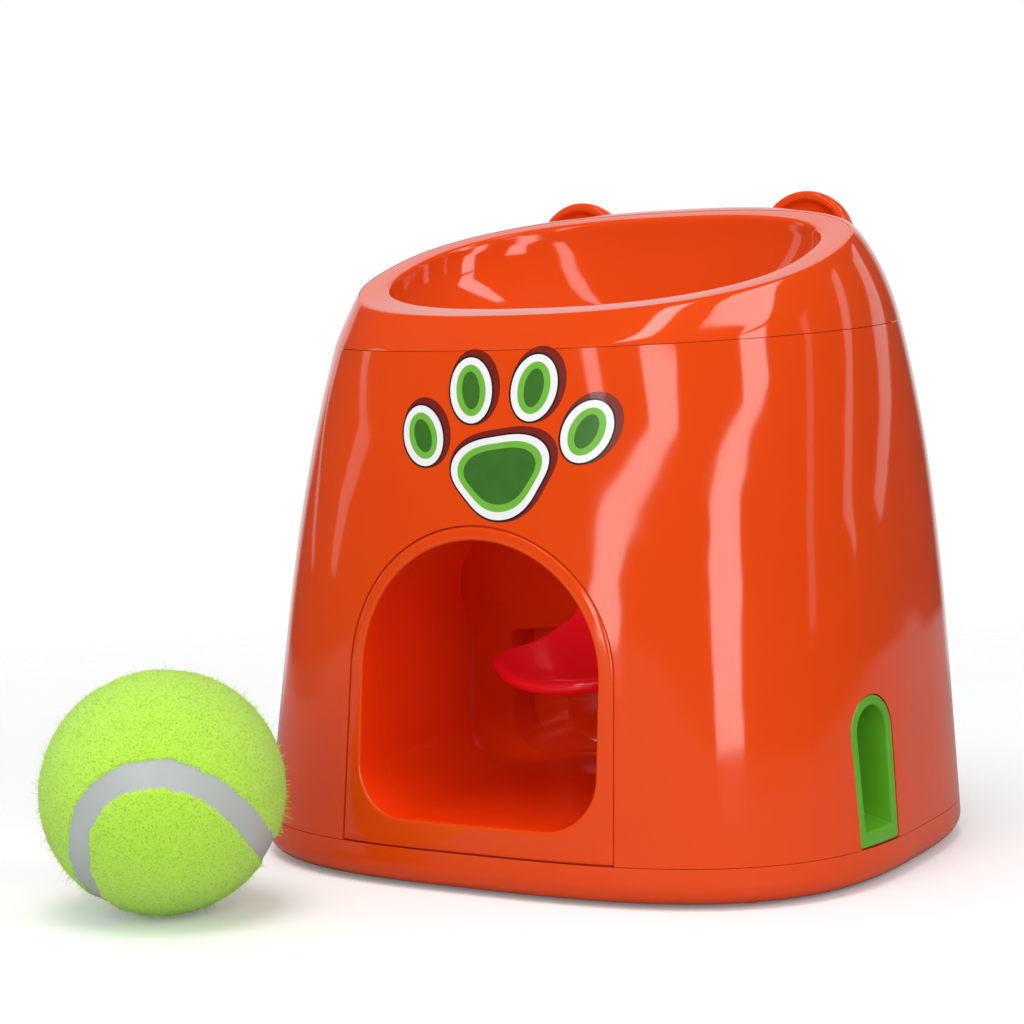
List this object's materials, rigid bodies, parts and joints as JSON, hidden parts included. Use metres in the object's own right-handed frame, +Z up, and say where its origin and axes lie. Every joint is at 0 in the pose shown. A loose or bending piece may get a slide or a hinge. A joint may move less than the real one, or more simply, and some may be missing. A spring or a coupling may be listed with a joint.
{
  "type": "dog fetch treat dispenser",
  "caption": "Glossy tub: a ball dropped in its slanted bowl presses a sprung tongue that turns a treat rotor, then rolls out of the mouth while treats slide out of the side chute.",
  "frame": {"origin": "centre of the dispenser's footprint on the ground, at the bottom of the middle foot", "axes": "+X to the side with the treat chute, +Y away from the mouth, +Z up"},
  "size_m": [0.191, 0.2591, 0.1924],
  "materials": {
    "orange_plastic": "glossy injection-moulded plastic",
    "dark_orange_plastic": "semi-gloss plastic",
    "red_plastic": "glossy plastic",
    "green_plastic": "glossy plastic",
    "black_plastic": "matte plastic",
    "foot_rubber": "matte rubber",
    "bush_brass": "machined",
    "steel": "zinc plated",
    "spring_steel": "drawn wire",
    "ball_rubber": "matte rubber",
    "ball_felt": "wool felt"
  },
  "bodies": {
    "dispenser": {"base_tray": "orange_plastic", "foot_pads": "foot_rubber", "base_screws": "steel", "inner_screws": "steel", "body_shell": "orange_plastic", "mouth_panel": "orange_plastic", "throat_liner": "dark_orange_plastic", "side_frame_left": "black_plastic", "side_frame_right": "black_plastic", "bushing_left": "bush_brass", "bushing_right": "bush_brass", "treat_chute": "green_plastic", "treat_hopper": "orange_plastic", "hopper_screws": "steel", "return_spring": "spring_steel"},
    "lever": {"tongue": "red_plastic", "cross_shaft": "steel", "metering_rotor": "green_plastic", "hub_screws": "steel", "shaft_clips": "steel"},
    "lid": {"funnel_lid": "orange_plastic", "ear_left": "orange_plastic", "ear_right": "orange_plastic"},
    "ball": {"ball_core": "ball_rubber", "ball_felt": "ball_felt"}
  },
  "joints": [
    {"name": "tongue_hinge", "type": "hinge", "parent": "dispenser", "child": "lever", "pos_m": [0, 0.028, 0.0775], "axis": [1, 0, 0], "range_deg": [0, 20], "stiffness_Nm_per_rad": 0.03, "springref_deg": -17.19, "deforming": ["return_spring"]},
    {"name": "lid_lift", "type": "slide", "parent": "dispenser", "child": "lid", "axis": [0, 0, 1], "range_m": [0, 0.1]},
    {"name": "ball_lift", "type": "slide", "parent": "dispenser", "child": "ball", "axis": [0, 0, 1], "range_m": [0, 0.08]}
  ]
}
